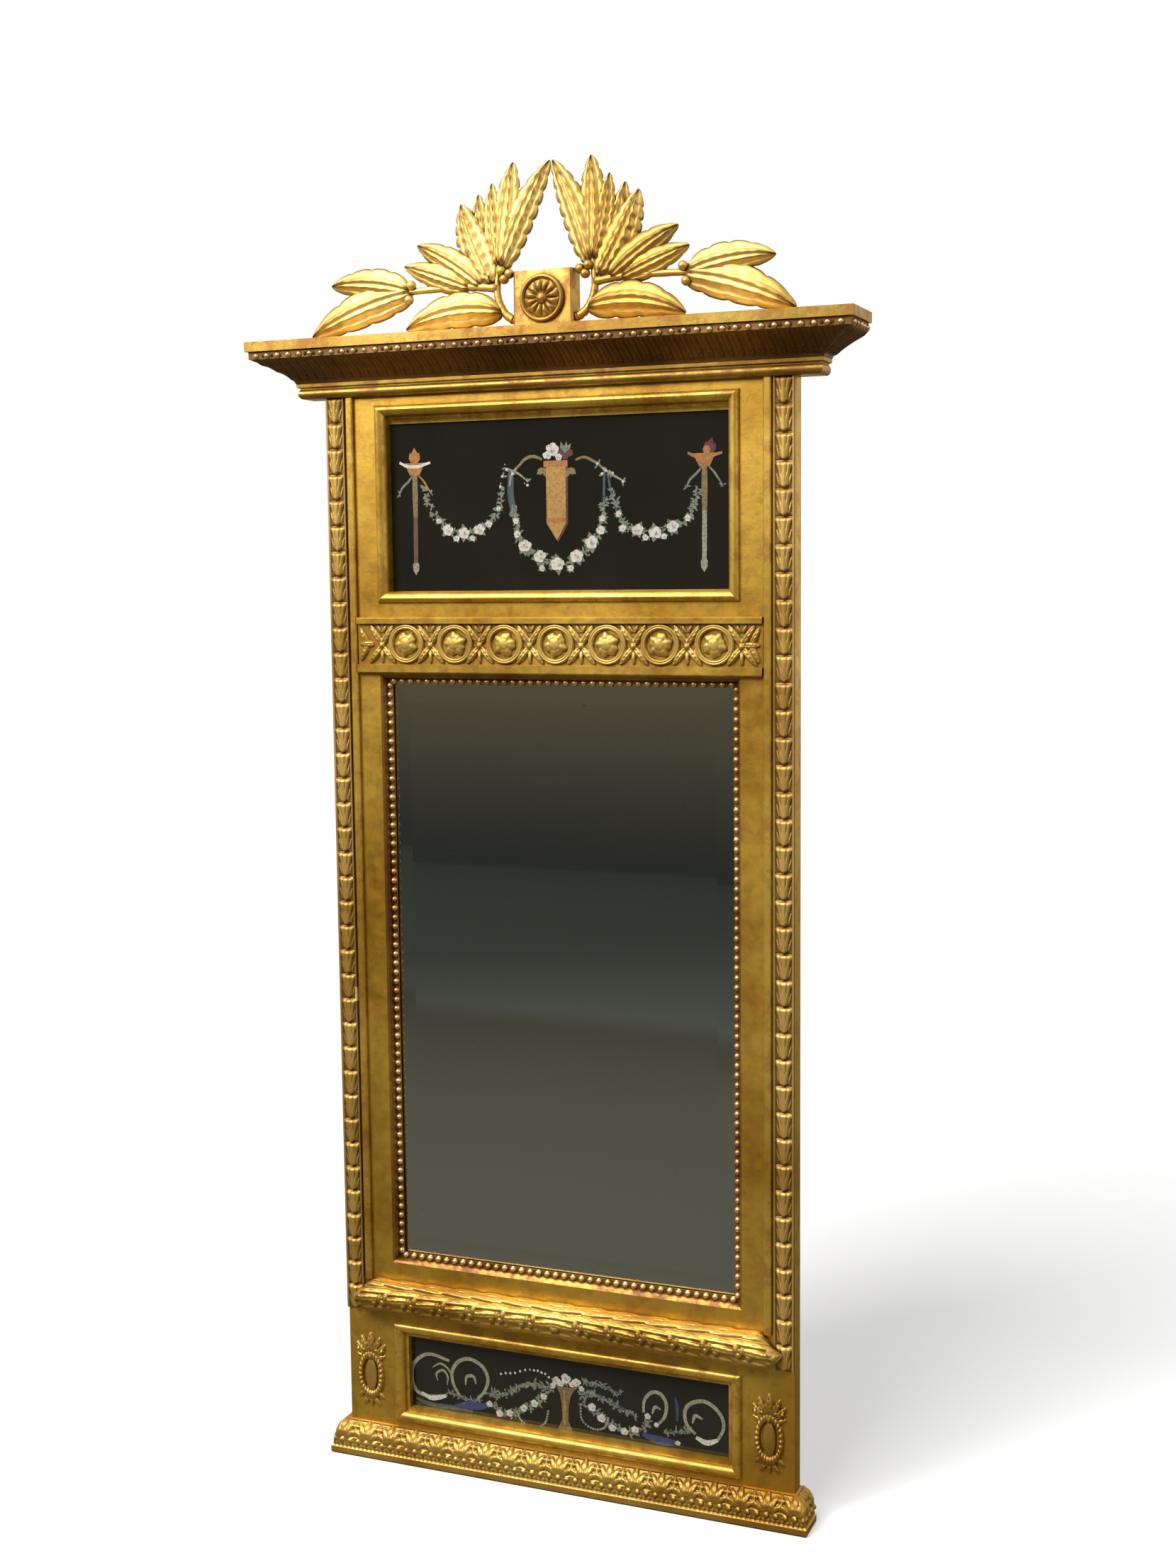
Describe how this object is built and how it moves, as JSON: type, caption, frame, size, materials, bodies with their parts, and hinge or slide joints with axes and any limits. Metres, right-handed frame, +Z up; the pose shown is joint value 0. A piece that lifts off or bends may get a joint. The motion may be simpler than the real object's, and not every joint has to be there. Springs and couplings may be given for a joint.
{
  "type": "trumeau mirror",
  "caption": "Tall gilt pier mirror with a wide bead-strung cornice, laurel crest, guilloche frieze, painted glass panels above and below a bevelled plate, and a carved plinth.",
  "frame": {"origin": "middle of the footprint on the plane of the plinth's underside, halfway between the wall plane and the cornice's front", "axes": "+Z up along the tall frame, +X to the right as seen from the front, +Y back toward the wall; the wall plane is at y = +0.0435"},
  "size_m": [0.814, 0.087, 1.7305],
  "materials": {
    "gilding": "water gilding over red bole and gesso on carved pine, rubbed on the high places",
    "gilt_carcass": "gilt front and edges on pine boards, bare pine behind",
    "bole_brown": "dark red-brown toned gilding",
    "pine_board": "bare aged pine",
    "mirror_glass": "silvered plate with a shallow bevel",
    "painted_glass": "clear plate painted black behind with gilt and coloured ornament",
    "steel": "dull plated steel",
    "iron_pins": "dark iron wire pins"
  },
  "bodies": {
    "frame": {"backboard_pins": "iron_pins", "bottom_rail": "gilt_carcass", "cartouche_left": "gilding", "cartouche_right": "gilding", "carved_band_left": "gilding", "carved_band_right": "gilding", "cornice_bead_strip_front": "gilding", "cornice_bead_strip_left": "gilding", "cornice_bead_strip_right": "gilding", "cornice_block_left": "gilt_carcass", "cornice_block_right": "gilt_carcass", "cornice_cavetto_front": "bole_brown", "cornice_cavetto_left": "bole_brown", "cornice_cavetto_right": "bole_brown", "cornice_moulding_front": "gilding", "cornice_moulding_left": "gilding", "cornice_moulding_right": "gilding", "cornice_top_board": "gilding", "crest_block": "gilding", "crest_dowels": "pine_board", "crest_rosette": "gilding", "frieze_board": "gilding", "frieze_rail": "gilt_carcass", "guilloche_ornament": "gilding", "hanger_plate_left": "steel", "hanger_plate_right": "steel", "hanger_screws": "steel", "laurel_spray_left": "gilding", "laurel_spray_right": "gilding", "laurel_torus": "gilding", "lower_backboard": "pine_board", "lower_moulding_bottom": "gilding", "lower_moulding_left": "gilding", "lower_moulding_right": "gilding", "lower_moulding_top": "gilding", "lower_panel_glass": "painted_glass", "lower_rail": "gilt_carcass", "mirror_backboard": "pine_board", "mirror_liner_bottom": "gilding", "mirror_liner_left": "gilding", "mirror_liner_right": "gilding", "mirror_liner_top": "gilding", "mirror_plate": "mirror_glass", "plinth_front": "gilding", "plinth_left": "gilding", "plinth_right": "gilding", "side_fillet_left": "gilding", "side_fillet_right": "gilding", "stile_left": "gilt_carcass", "stile_right": "gilt_carcass", "top_rail": "gilt_carcass", "upper_backboard": "pine_board", "upper_cove_strip": "gilding", "upper_moulding_bottom": "gilding", "upper_moulding_left": "gilding", "upper_moulding_right": "gilding", "upper_moulding_top": "gilding", "upper_panel_glass": "painted_glass"},
    "ring_left": {"hanger_ring_left": "steel"},
    "ring_right": {"hanger_ring_right": "steel"}
  },
  "joints": [
    {"name": "ring_left_hinge", "type": "hinge", "parent": "frame", "child": "ring_left", "pos_m": [-0.285, 0.0381, 1.38], "axis": [1, 0, 0], "range_deg": [0, 175]},
    {"name": "ring_right_hinge", "type": "hinge", "parent": "frame", "child": "ring_right", "pos_m": [0.285, 0.0381, 1.38], "axis": [1, 0, 0], "range_deg": [0, 175]}
  ]
}
